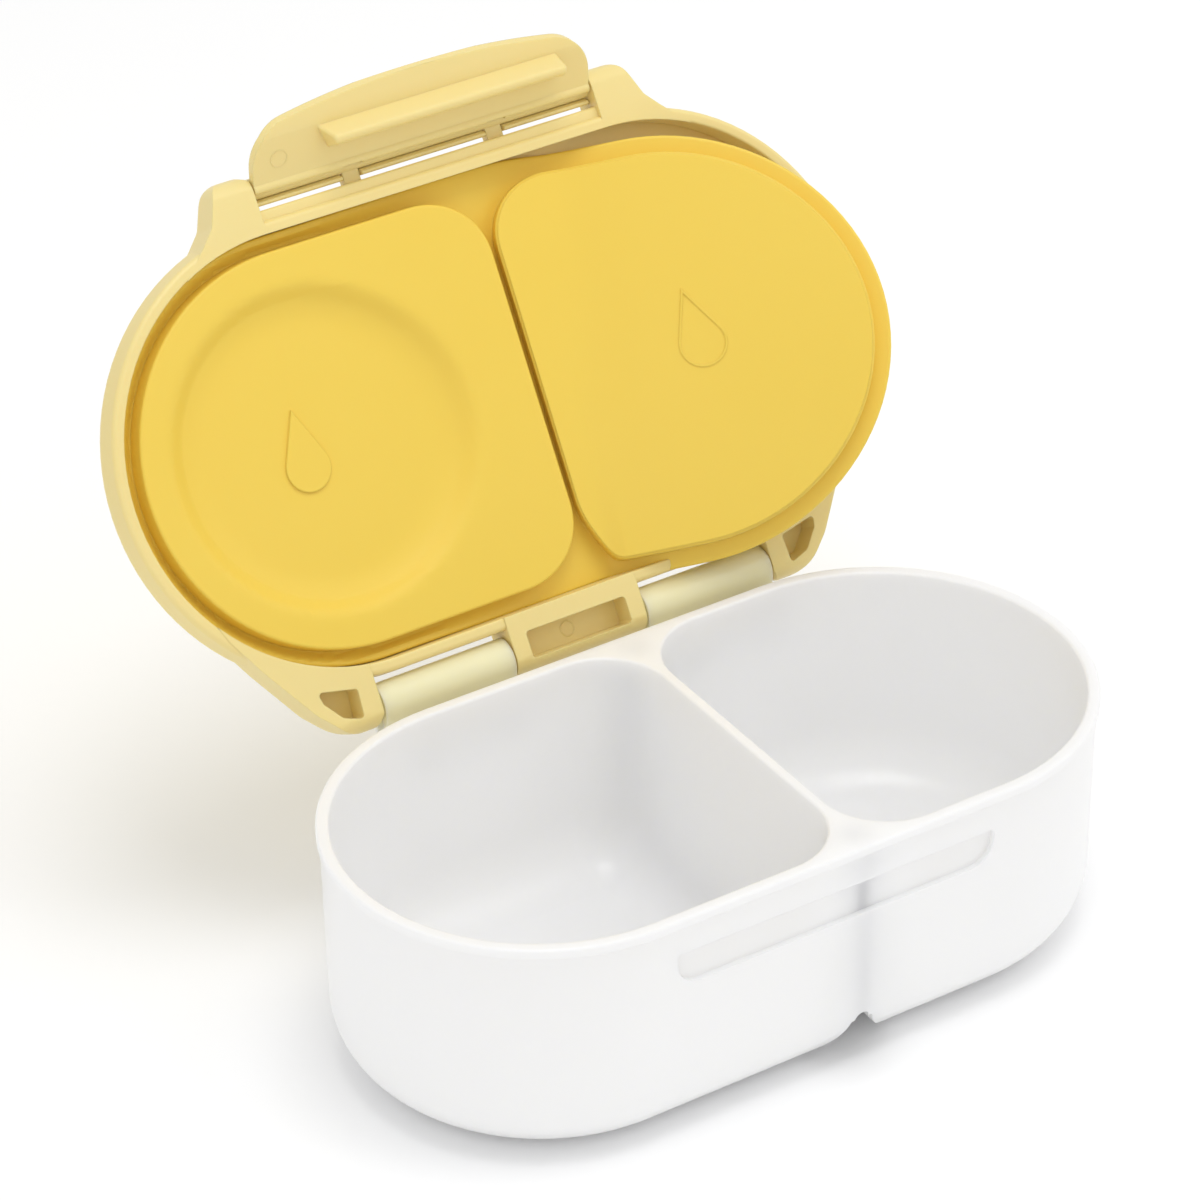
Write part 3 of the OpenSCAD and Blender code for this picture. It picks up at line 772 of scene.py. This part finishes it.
@dataclass
class Lid(Piece):
    """The lid: plate, skirt, hinge ears with their pins, latch ears with the latch rod."""

    edge_r: float = 3.2
    skirt_r: float = 1.1
    skirt_lean: float = 0.5
    ear_r: float = 4.1
    ear_x: float = 45.8
    knuckle_x: float = 15.2
    pin_r: float = 1.8
    rod_x: float = 38.8
    post_x: float = 16.4
    post_w: float = 3.6
    tip_r: float = 3.7

    def shell(self) -> bpy.types.Object:
        """Returns the lid's plate and skirt with the groove for the seal."""
        s = SIZES
        out, top = s.tub_w / 2 + s.lid_over - 0.006, s.under_z + s.lid_t
        inner, e, low = s.tub_w / 2 + s.skirt_gap, 0.45, out - self.skirt_lean
        section = [(out - 14, top), *arc((out - self.edge_r, top - self.edge_r), self.edge_r, 90, 0, 12),
                   *arc((low - self.skirt_r, s.skirt_z + self.skirt_r), self.skirt_r, 0, -90, 8),
                   *arc((inner + e, s.skirt_z + e), e, 270, 180, 4), (inner, s.tub_h),
                   (inner + s.flange_tuck, s.tub_h), (inner + s.flange_tuck, s.under_z),
                   (out - 14, s.under_z)]
        return solid(stadium(s.tub_l + 2 * s.lid_over, s.tub_w + 2 * s.lid_over, section))

    def hinge_ear(self, side: int) -> bpy.types.Object:
        """Returns one ear that holds the outer end of a hinge pin.

        Args:
            side: -1 for the left ear and 1 for the right one.

        Returns:
            The ear with its pocket cut.
        """
        s, x = SIZES, self.ear_x
        edge, pin = s.tub_w / 2 + s.lid_over, s.pin
        tip = pin.y + self.ear_r
        plan = rounded([(x, edge - 7, 0), (x + 29, edge - 23, 0), (x + 26.5, edge - 16.4, 0),
                        (x + 21.4, edge - 8.2, 14), (x + 13.9, edge + 2.6, 10), (x + 7.4, tip, 9),
                        (x + 1.2, tip, 1.6), (x, tip - 2.6, 1)], 8)
        ear = solid(prism(plan, Along.Z, s.skirt_z - 5, s.under_z + 5))
        section = solid(prism(self.ear_section(), Along.X, x, x + 30))
        ear = soften(combine(ear, "INTERSECT", section), 2.4, Vector((x + 1, 0, pin.z + 1)))
        ear = soften(ear, 0.9)
        pocket = rounded([(x + 4.0, edge + 0.3, 0.7), (x + 12.4, edge - 1.5, 0.7),
                          (x + 11.8, edge + 1.0, 1.0), (x + 8.7, edge + 4.8, 2.0),
                          (x + 4.4, edge + 6.3, 0.7)])
        cut = solid(prism(pocket, Along.Z, s.skirt_z - 6, pin.z + 1.5))
        ear = combine(ear, "DIFFERENCE", cut)
        if side < 0:
            ear.data.transform(Matrix.Diagonal((-1, 1, 1, 1)))
            ear.data.flip_normals()
        return ear

    def ear_section(self) -> list[Point]:
        """Returns the section of knuckle and ears, round the pin and flush with the lid."""
        s, pin = SIZES, SIZES.pin
        front = s.tub_w / 2 + s.lid_over - 24
        return [(front, s.skirt_z), *arc((pin.y, pin.z), self.ear_r, -80, 84, 14),
                (front, s.under_z + s.lid_t - 0.6)]

    def knuckle(self) -> bpy.types.Object:
        """Returns the middle knuckle with its pocket."""
        s, x = SIZES, self.knuckle_x
        edge = s.tub_w / 2 + s.lid_over
        body = solid(prism(self.ear_section(), Along.X, -x, x))
        pocket = rounded([(-x + 3.6, edge + 1.0, 0.8), (x - 3.6, edge + 1.0, 0.8),
                          (x - 3.6, edge + 6.6, 0.8), (-x + 3.6, edge + 6.6, 0.8)])
        cut = solid(prism(pocket, Along.Z, s.skirt_z - 6, s.pin.z + 1.5))
        return combine(body, "DIFFERENCE", cut)

    def latch_ear(self, side: int) -> bpy.types.Object:
        """Returns one ear that holds an end of the latch rod.

        Args:
            side: -1 for the left ear and 1 for the right one.

        Returns:
            The ear.
        """
        s, x = SIZES, self.rod_x
        edge, rod, r = s.tub_w / 2 + s.lid_over, s.rod, self.tip_r
        tip = rod.y - r
        plan = rounded([(x, 8 - edge, 0), (x, tip + 1, 0.8), (x + 2, tip, 1.4), (x + 7.6, tip, 3.2),
                        (x + 10.8, -edge - 1.2, 3), (x + 13.6, -edge + 1.8, 3), (x + 20, 8 - edge, 0)])
        ear = solid(prism(plan, Along.Z, s.skirt_z - 3, s.under_z + 4))
        front = 8 - edge
        outline = [(front, s.under_z + s.lid_t - 0.3), *arc((rod.y, rod.z), r, 96, 262, 14),
                   (-edge, s.skirt_z), (front, s.skirt_z)]
        ear = soften(combine(ear, "INTERSECT", solid(prism(outline, Along.X, x, x + 22))), 0.7)
        if side < 0:
            ear.data.transform(Matrix.Diagonal((-1, 1, 1, 1)))
            ear.data.flip_normals()
        return ear

    def rail(self) -> bpy.types.Object:
        """Returns the stiff rail along the front edge, between the latch ears."""
        s = SIZES
        edge, z = s.tub_w / 2 + s.lid_over, s.skirt_z
        face = s.rod.y + 3.7
        outline = rounded([(4 - edge, z, 0), (1.2 - edge, z, 0.5), (0.9 - edge, z + 1.1, 0.4),
                           (face, z + 1.3, 0.7), (face, s.under_z - 2.0, 0.7),
                           (1.4 - edge, s.under_z + 0.3, 0.7), (4 - edge, s.under_z + 0.3, 0)], 6)
        return solid(prism(outline, Along.X, -self.rod_x - 1, self.rod_x + 1))

    def inner_space(self) -> bpy.types.Object:
        """Returns the space inside the skirt, which no ear or rail reaches into."""
        s = SIZES
        inner = s.tub_w / 2 + s.skirt_gap
        section = [(inner - 20, s.skirt_z - 8), (inner, s.skirt_z - 8), (inner, s.tub_h),
                   (inner + s.flange_tuck, s.tub_h), (inner + s.flange_tuck, s.under_z),
                   (inner - 20, s.under_z)]
        return solid(stadium(s.tub_l + 2 * s.skirt_gap, s.tub_w + 2 * s.skirt_gap, section))

    def relief(self, side: int) -> bpy.types.Object:
        """Returns the space that one of the tub's hooks turns in.

        Args:
            side: -1 for the left hook and 1 for the right one.

        Returns:
            The solid to cut away.
        """
        ends = sorted((side * (self.knuckle_x + 0.001), side * (self.ear_x - 0.001)))
        return solid(rod_between(*ends, SIZES.pin, 4.9))

    def post(self, side: int) -> bpy.types.Object:
        """Returns one post that carries the latch rod.

        Args:
            side: -1 for the left post and 1 for the right one.

        Returns:
            The post.
        """
        rod, x = SIZES.rod, side * self.post_x
        root = rod.y + SIZES.rod_fwd - SIZES.lid_over + 1
        under = SIZES.rod_r / 2.5
        outline = [(root, rod.z + SIZES.rod_r), *arc((rod.y, rod.z), SIZES.rod_r, 90, 336, 20),
                   (root, rod.z - under)]
        return solid(prism(outline, Along.X, x - self.post_w / 2, x + self.post_w / 2))

    def shape(self) -> bpy.types.Object:
        """Returns the whole lid."""
        lid = combine(self.shell(), "UNION", self.hinge_ear(-1), self.hinge_ear(1), self.knuckle(),
                      self.latch_ear(-1), self.latch_ear(1), self.rail())
        lid = combine(lid, "DIFFERENCE", self.inner_space(), self.relief(-1), self.relief(1))
        pins = [solid(rod_between(*sorted((side * (self.knuckle_x - 1), side * (self.ear_x + 1))),
                                  SIZES.pin, self.pin_r)) for side in (-1, 1)]
        rod = solid(rod_between(-self.rod_x - 1, self.rod_x + 1, SIZES.rod, SIZES.rod_r))
        lid = combine(lid, "UNION", *pins, rod, self.post(-1), self.post(1))
        mark = ring_mark(1.5, 0.14)
        place = Vector((0, SIZES.tub_w / 2 + SIZES.lid_over + 3.8, SIZES.pin.z + 1.5))
        bmesh.ops.translate(mark, verts=mark.verts, vec=place)
        return combine(lid, "UNION", solid(mark))


@dataclass
class Latch(Piece):
    """The latch flap: clip round the lid's rod, plate, flared finger edge and snap bar."""

    half_w: float = 38.4
    reach: float = 17.4
    thick: float = 1.7
    clip_r: float = 2.9
    plate_in: float = 2.4
    bead_r: float = 1.15
    bend: float = 12.2
    corner_r: float = 9.0
    bow_r: float = 195.0
    bar_x: Point = (-24.0, 31.0)
    bar_rise: float = 5.0
    notch_z: float = -1.4
    notch_w: float = 4.4

    def section(self) -> list[Point]:
        """Returns the flap's section about the rod, as (y, z) with the rod at zero."""
        r, t, front, bore = self.clip_r, self.thick, self.plate_in, SIZES.rod_r + 0.08
        meet = math.degrees(math.acos((front - r + self.bead_r) / self.bead_r))
        return [(front, -self.bend), (front - 1.4, -self.reach + 0.1),
                *arc((front - 2.1, -self.reach), 0.72, 0, -180, 8),
                (front - 1.45 - t, -self.reach + 0.5), (front - t, -self.bend), (front - t, -3.6),
                *arc((0, 0), r, 258, 46, 36), *arc((1.95, 1.6), 0.5, 40, -60, 5),
                *arc((0, 0), bore, 50, 330, 36), *arc((r - self.bead_r, -1.75), self.bead_r, 90, -meet, 12)]

    def plan(self) -> list[Point]:
        """Returns the flap's outline as (x, z) about the rod."""
        w, c = self.half_w, self.corner_r
        bow = Vector((0, self.bow_r - self.reach))
        reach = self.bow_r - c
        across = w - c
        centre_z = bow.y - math.sqrt(reach ** 2 - across ** 2)
        turn = math.degrees(math.atan2(across, bow.y - centre_z))
        edge = arc((bow.x, bow.y), self.bow_r, 270 - turn, 270 + turn, 32)
        left = arc((-across, centre_z), c, 180, 270 - turn, 14)[:-1]
        right = arc((across, centre_z), c, 270 + turn, 360, 14)[1:]
        return [(-w, 4), *left, *edge, *right, (w, 4)]

    def bar(self) -> bpy.types.Object:
        """Returns the bar that snaps into the tub's recess: steep far side, sloping near side."""
        rod, low = SIZES.rod, self.plate_in - 0.3
        high = self.plate_in + self.bar_rise
        x0, x1 = self.bar_x
        profile = [(low, -6.2), (high, -9.4), (high, -11.2), (low, -11.9)]
        bm = prism([(rod.y + y, rod.z + z) for y, z in profile], Along.X, x0, x1)
        for vert in bm.verts:
            if vert.co.y > rod.y + high - 0.01:
                vert.co.x += 1.5 if vert.co.x < 0 else -0.5
            elif vert.co.x < 0 and vert.co.z > rod.z - 8:
                vert.co.x += 2.4
        edges = [e for e in bm.edges if any(v.co.y > rod.y + high - 0.01 for v in e.verts)]
        bmesh.ops.bevel(bm, geom=edges, offset=0.75, offset_type="OFFSET", segments=5, profile=0.5,
                        affect="EDGES", clamp_overlap=True, material=-1)
        return solid(bm)

    def shape(self) -> bpy.types.Object:
        """Returns the whole latch."""
        rod = SIZES.rod
        section = [(rod.y + y, rod.z + z) for y, z in self.section()]
        flap = solid(prism(section, Along.X, -self.half_w - 1, self.half_w + 1))
        plan = [(x, rod.z + z) for x, z in self.plan()]
        flap = combine(flap, "INTERSECT", solid(prism(plan, Along.Y, rod.y - 20, rod.y + 20)))
        for side in (-1, 1):
            x, half, low = side * 16.4, self.notch_w / 2, rod.z + self.notch_z
            notch = [(x - half, low), (x + half, low), (x + half, rod.z + 4), (x - half, rod.z + 4)]
            flap = combine(flap, "DIFFERENCE",
                           solid(prism(notch, Along.Y, rod.y - 5, rod.y + 5)))
        flap = combine(flap, "UNION", self.bar())
        place = Matrix.Translation((-32.6, rod.y + self.plate_in, rod.z - 7.3))
        mark = ring_mark(1.8, 0.12)
        bmesh.ops.transform(mark, verts=mark.verts,
                            matrix=place @ Matrix.Rotation(math.pi / 2, 4, "X"))
        return combine(flap, "UNION", solid(mark))


@dataclass
class Seal(Piece):
    """The silicone seal: flange, two plugs, dish and drop symbols, its right half sprung out."""

    pad_h: float = 4.5
    pad_gap: float = 0.3
    edge_r: float = 0.55
    dish_x: float = -40.3
    dish_r: float = 33.4
    dish_deep: float = 3.7
    dish_wall: float = 9.5
    crown: float = 0.9
    crown_x: float = 43.5
    drops: tuple[tuple[float, float, float], ...] = ((-43.5, 2.8, 0.0), (46.1, 0.2, -10.0))
    drop_l: float = 16.5
    drop_r: float = 4.8
    drop_h: float = 0.5
    line_w: float = 0.45
    cell: float = 1.25
    hinge_l: float = 2.6
    tilt: float = 20.5
    cant: float = -4.4
    slew: float = 5.8
    shrink: float = 0.033
    sink: float = 5.1
    bow: float = 9.4
    curl: float = 1.6
    blend_l: float = 16.0
    keep: float = 0.035
    lip_h: float = 1.9
    lip_w: float = 2.4
    lip_in: float = 0.45
    pull: float = 2.2
    pull_l: float = 30.0

    def build(self) -> bpy.types.Object:
        """Builds the seal and gives it a mesh of its own.

        Returns:
            The finished seal.
        """
        seal = super().build()
        move = self.pose.matrix()
        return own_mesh(seal)

    def flange(self) -> bpy.types.Object:
        """Returns the seal's flat flange with a rounded edge."""
        s = SIZES
        reach = s.tub_w / 2 + s.skirt_gap + s.flange_tuck - s.flange_gap
        grow = 2 * (reach - s.tub_w / 2)
        low = s.tub_h + s.flange_gap
        r = s.flange_t / 2
        section = [(reach - 12, low), *arc((reach - r, low + r), r, -90, 90, 8), (reach - 12, low + 2 * r)]
        return solid(stadium(s.tub_l + grow, s.tub_w + grow, section))

    def pad(self, side: int) -> bpy.types.Object:
        """Returns one plug that closes a compartment.

        Args:
            side: -1 for the larger, left compartment and 1 for the smaller one.

        Returns:
            The plug.
        """
        s, g, e = SIZES, self.pad_gap, self.edge_r
        low = s.tub_h - self.pad_h
        section = [(g, s.tub_h + 0.6), *arc((g + 0.15 + e, low + e), e, 180, 270, 6), (g + 10, low)]
        return solid(bay(side, section))

    def drop(self, which: int, inset: float, low: float, high: float) -> bmesh.types.BMesh:
        """Makes a plain drop symbol, its tip towards the latch.

        Args:
            which: 0 for the left symbol and 1 for the right one.
            inset: How far its outline is drawn in.
            low: Where it starts.
            high: Where it ends.

        Returns:
            The mesh.
        """
        r = self.drop_r
        flank = math.degrees(math.acos(r / (self.drop_l - r)))
        tip = (r - inset) / math.cos(math.radians(flank))
        x, y, turn = self.drops[which]
        bm = prism([(0, -tip), *arc((0, 0), r - inset, flank - 90, 270 - flank, 40)], Along.Z, low, high)
        place = Matrix.Translation((x, y, 0)) @ Matrix.Rotation(math.radians(turn), 4, "Z")
        bmesh.ops.transform(bm, matrix=place, verts=bm.verts)
        return bm

    def relief(self, point: Vector) -> None:
        """Presses the dish into the left pad's face and raises the crown of the right pad.

        Args:
            point: A point of the face, which is moved.
        """
        if point.x < SIZES.divider_x:
            far = math.hypot(point.x - self.dish_x, point.y)
            step = min(max((self.dish_r - far) / self.dish_wall, 0), 1)
            brink = min(step * 2.4, 1)
            point.z += self.dish_deep * step * (2 - step) * brink * brink * (3 - 2 * brink)
        else:
            far = math.hypot(point.x - self.crown_x, point.y) / (0.7 * SIZES.bay_w)
            point.z -= self.crown * max(1 - far * far, 0)

    def lip(self, point: Vector) -> None:
        """Curls the flange's free edge a little out of the lid's groove, on the seated half.

        Args:
            point: A point of the flange, which is moved.
        """
        end = Vector((min(max(point.x, -SIZES.bay_end), SIZES.bay_end), 0))
        spoke = point.xy - end
        share = min((spoke.length - SIZES.bay_w / 2) / self.lip_w, 1)
        if share <= 0:
            return
        fade = min(max((SIZES.divider_x - point.x) / (SIZES.divider_x + SIZES.bay_end), 0), 1)
        share *= share * (3 - 2 * share) * fade * fade * (3 - 2 * fade)
        point.z -= self.lip_h * share
        point.xy = end + spoke * (1 - self.lip_in * share / spoke.length)

    def spring(self, point: Vector) -> None:
        """Moves a point of the right half out of the lid, as it hangs in the photograph.

        Args:
            point: The point, which is moved.
        """
        along = point.x - SIZES.divider_x
        pull = max(1 - abs(along) / self.pull_l, 0)
        shift = Vector((self.pull * pull * pull * (3 - 2 * pull), 0, 0))
        if along <= -1:
            point += shift
            return
        middle = SIZES.tub_h + SIZES.flange_gap + SIZES.flange_t / 2
        turn = Matrix.Rotation(math.radians(self.tilt), 3, "Y")
        turn = turn @ Matrix.Rotation(math.radians(self.cant), 3, "X")
        turn = turn @ Matrix.Rotation(math.radians(self.slew), 3, "Z")
        skin = turn @ Vector((along * (1 - self.shrink), point.y, 0))
        thick = turn @ Vector((0, 0, point.z - middle))
        far, wide = along / 76, point.y / 43
        lift = -(skin.z + self.sink - self.bow * far * far + self.curl * far * wide * wide)
        lift = math.log1p(math.exp(min(lift, 30.0))) if lift < 30 else lift
        goal = Vector((skin.x + SIZES.divider_x, skin.y, middle - lift))
        share = min(max(along / self.blend_l, 0), 1)
        share = share * share * (3 - 2 * share)
        lean = min(max((along + 1) / self.hinge_l, 0), 1)
        lean = lean * lean * (3 - 2 * lean)
        flat = Vector((point.x, point.y, middle))
        thick = Vector((0, 0, point.z - middle)).lerp(thick, lean)
        point.xyz = flat.lerp(goal, share) + thick + shift

    def grid(self, bm: bmesh.types.BMesh) -> None:
        """Cuts a mesh into cells that are small enough to bend.

        Args:
            bm: The mesh.
        """
        low, high = (f(v.co.x for v in bm.verts) for f in (min, max))
        for axis, first, last in ((0, low, high), (1, -43.0, 43.0)):
            count = int((last - first) / self.cell)
            for i in range(1, count):
                place, normal = Vector((0, 0, 0)), Vector((0, 0, 0))
                place[axis] = first + (last - first) * i / count
                normal[axis] = 1
                bmesh.ops.bisect_plane(bm, geom=bm.verts[:] + bm.edges[:] + bm.faces[:], dist=0.0001,
                                       plane_co=place, plane_no=normal)

    def shape(self) -> bpy.types.Object:
        """Returns the whole seal."""
        seal = combine(self.flange(), "UNION", self.pad(-1), self.pad(1))
        face = SIZES.tub_h - self.pad_h
        bm = bmesh.new()
        bm.from_mesh(seal.data)
        self.grid(bm)
        for vert in bm.verts:
            if vert.co.z < face + 0.01:
                self.relief(vert.co)
            elif vert.co.z > SIZES.tub_h:
                self.lip(vert.co)
        bm.to_mesh(seal.data)
        bm.free()
        dish = face + self.dish_deep
        raised = self.drop(0, 0, dish - self.drop_h, dish + 1)
        crest = face - self.crown
        line = solid(self.drop(1, 0, crest - 0.16, crest + 1.5))
        line = combine(line, "DIFFERENCE", solid(self.drop(1, self.line_w, crest - 1, crest + 2)))
        outline = bmesh.new()
        outline.from_mesh(line.data)
        bpy.data.objects.remove(line)
        self.grid(outline)
        seal = combine(seal, "UNION", solid(raised), solid(outline))
        for vert in seal.data.vertices:
            self.spring(vert.co)
        return seal


# ---------------------------------------------------------------- studio


@dataclass(frozen=True)
class Studio:
    """Floor, world, lamps and the camera of the photograph."""

    azimuth: float = 32.282
    elevation: float = 33.303
    roll: float = -0.795
    distance_mm: float = 1031.0
    offset_mm: Point = (-22.58, 71.92)
    focal_px: float = 5224.0
    frame_px: float = 1200.0

    def camera(self) -> None:
        """Adds the camera, worked out from the fitted view of the tub."""
        az, el, roll = (math.radians(a) for a in (self.azimuth, self.elevation, self.roll))
        back = Vector((-math.sin(az) * math.cos(el), -math.cos(az) * math.cos(el), math.sin(el)))
        right = Vector((math.cos(az), -math.sin(az), 0))
        up = back.cross(right)
        right, up = (math.cos(roll) * right + math.sin(roll) * up,
                     math.cos(roll) * up - math.sin(roll) * right)
        place = back * self.distance_mm + right * self.offset_mm[0] + up * self.offset_mm[1]
        place += Vector((SIZES.foot_x, 0, 0))
        data = bpy.data.cameras.new("Camera")
        data.sensor_width = 36.0
        data.lens = self.focal_px / self.frame_px * data.sensor_width
        camera = bpy.data.objects.new("Camera", data)
        turn = Matrix((right, up, back)).transposed().to_4x4()
        camera.matrix_world = Matrix.Translation(place * MM) @ turn
        bpy.context.scene.collection.objects.link(camera)
        bpy.context.scene.camera = camera

    def lamp(self, name: str, place: tuple[float, float, float], size: float, watts: float) -> None:
        """Adds a square soft lamp that looks at the box.

        Args:
            name: The lamp's name.
            place: Where it hangs, in metres.
            size: Its side in metres.
            watts: Its power.
        """
        data = bpy.data.lights.new(name, "AREA")
        data.size = size
        data.energy = watts
        lamp = bpy.data.objects.new(name, data)
        aim = Vector((SIZES.foot_x * MM, 0.03, 0.06)) - Vector(place)
        lamp.matrix_world = Matrix.Translation(place) @ aim.to_track_quat("-Z", "Y").to_matrix().to_4x4()
        bpy.context.scene.collection.objects.link(lamp)

    def world(self) -> None:
        """Sets a white backdrop and an even, moderate light from all round."""
        world = bpy.data.worlds.new("Studio")
        world.use_nodes = True
        bpy.context.scene.world = world
        tree = world.node_tree
        tree.nodes.clear()
        path = tree.nodes.new("ShaderNodeLightPath")
        seen = tree.nodes.new("ShaderNodeMath")
        seen.operation = "MAXIMUM"
        tree.links.new(path.outputs["Is Camera Ray"], seen.inputs[0])
        tree.links.new(path.outputs["Is Transmission Ray"], seen.inputs[1])
        level = tree.nodes.new("ShaderNodeMapRange")
        tree.links.new(seen.outputs[0], level.inputs["Value"])
        level.inputs["To Min"].default_value = 0.93
        level.inputs["To Max"].default_value = 1.0
        light = tree.nodes.new("ShaderNodeBackground")
        tree.links.new(level.outputs["Result"], light.inputs["Strength"])
        out = tree.nodes.new("ShaderNodeOutputWorld")
        tree.links.new(light.outputs["Background"], out.inputs["Surface"])

    def floor(self) -> None:
        """Adds a plain white floor that keeps the box's shadow."""
        bm = bmesh.new()
        bmesh.ops.create_grid(bm, x_segments=1, y_segments=1, size=3.0)
        floor = solid(bm, "Floor")
        material = bpy.data.materials.new("white paper")
        material.use_nodes = True
        tree = material.node_tree
        tree.nodes.clear()
        paper = add_node(material, "ShaderNodeBsdfDiffuse", {}, {"Color": linear("#FFFFFF")})
        add_node(material, "ShaderNodeOutputMaterial", {}, {"Surface": paper.outputs["BSDF"]})
        floor.data.materials.append(material)

    def build(self) -> None:
        """Adds the whole studio."""
        self.camera()
        self.world()
        self.floor()
        self.lamp("Key", (0.75, -0.35, 0.95), 0.8, 1.6)
        self.lamp("Fill", (-0.8, -0.9, 0.6), 0.9, 0.9)
        self.lamp("Top", (0.04, -0.1, 1.3), 0.6, 4.3)


def main() -> None:
    """Builds the studio and the four pieces."""
    logging.basicConfig(level=logging.INFO, format="%(name)s %(message)s")
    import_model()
    bpy.context.scene.view_settings.view_transform = "Standard"
    Studio().build()
    Tub("tub_moulding", "tub", "tub", "tub", Pose.TUB, MILKY_PP).build()
    Lid("lid_moulding", "lid", "lid", "shell", Pose.LID, YELLOW_PP).build()
    Latch("latch_flap", "latch", "latch", "latch", Pose.LATCH, YELLOW_PP).build()
    Seal("seal_insert", "seal", "lid", "seal", Pose.LID, SILICONE).build()


if __name__ == "__main__":
    main()
